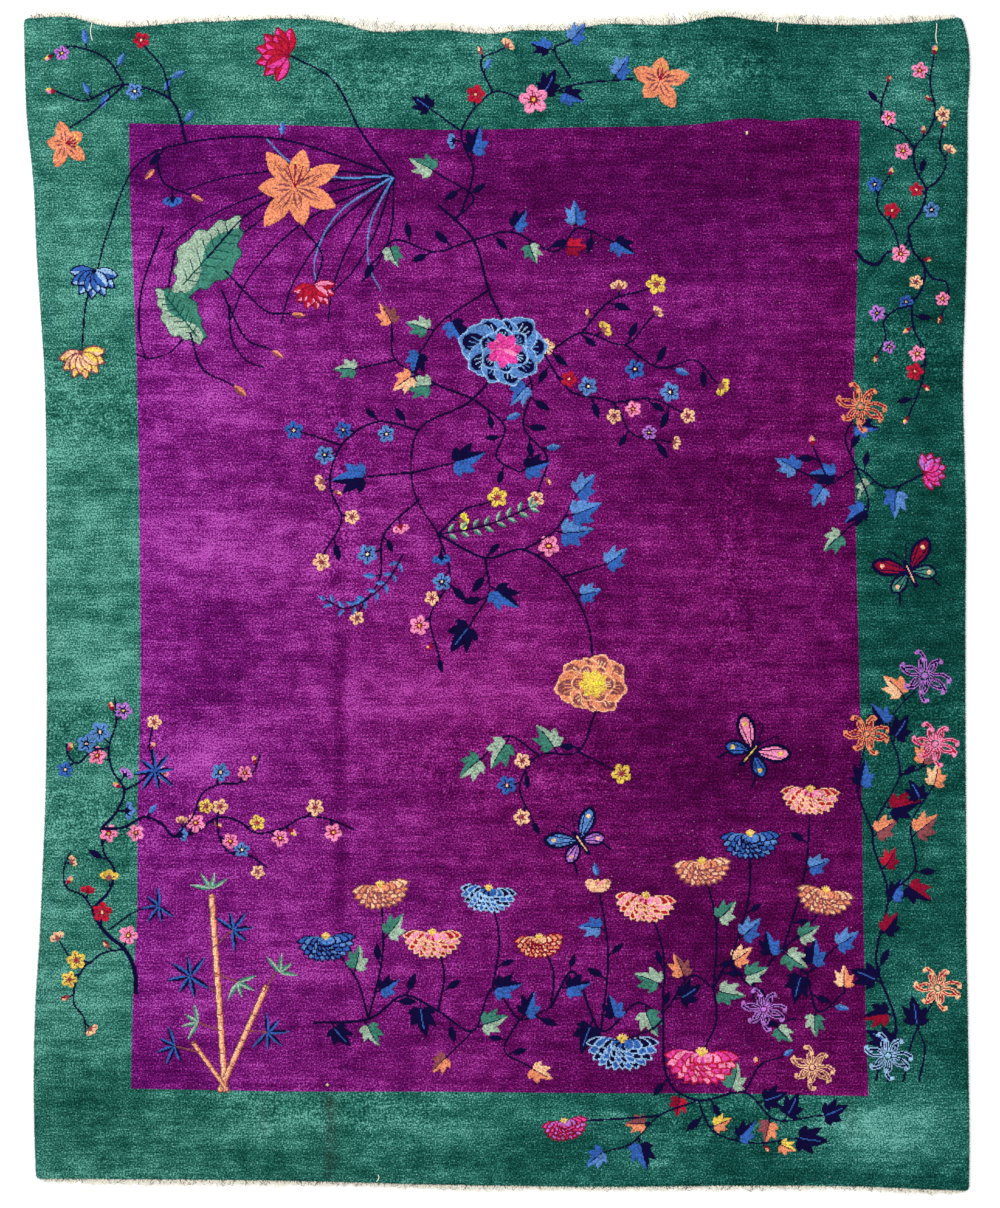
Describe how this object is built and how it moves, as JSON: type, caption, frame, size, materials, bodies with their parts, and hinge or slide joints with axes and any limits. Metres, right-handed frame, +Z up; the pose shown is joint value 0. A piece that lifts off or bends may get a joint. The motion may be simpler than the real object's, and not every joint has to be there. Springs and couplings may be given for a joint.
{
  "type": "wool carpet",
  "caption": "Flat hand-knotted wool carpet with a plain plum field, a wide green border, scattered flower sprays and short frayed cotton fringes at both ends.",
  "frame": {"origin": "on the floor under the middle of the carpet's outline, fringes included", "axes": "+X across the width, +Y along the length towards the end with the longer fringe, +Z up out of the pile"},
  "size_m": [2.441, 3.0604, 0.0138],
  "materials": {
    "wool_pile": "short clipped wool pile, plum field and green border, matt with a soft lie",
    "cotton_fringe": "undyed frayed cotton warp, matt"
  },
  "bodies": {
    "root": {"carpet": "wool_pile", "fringe_top": "cotton_fringe", "fringe_bottom": "cotton_fringe"}
  },
  "joints": []
}
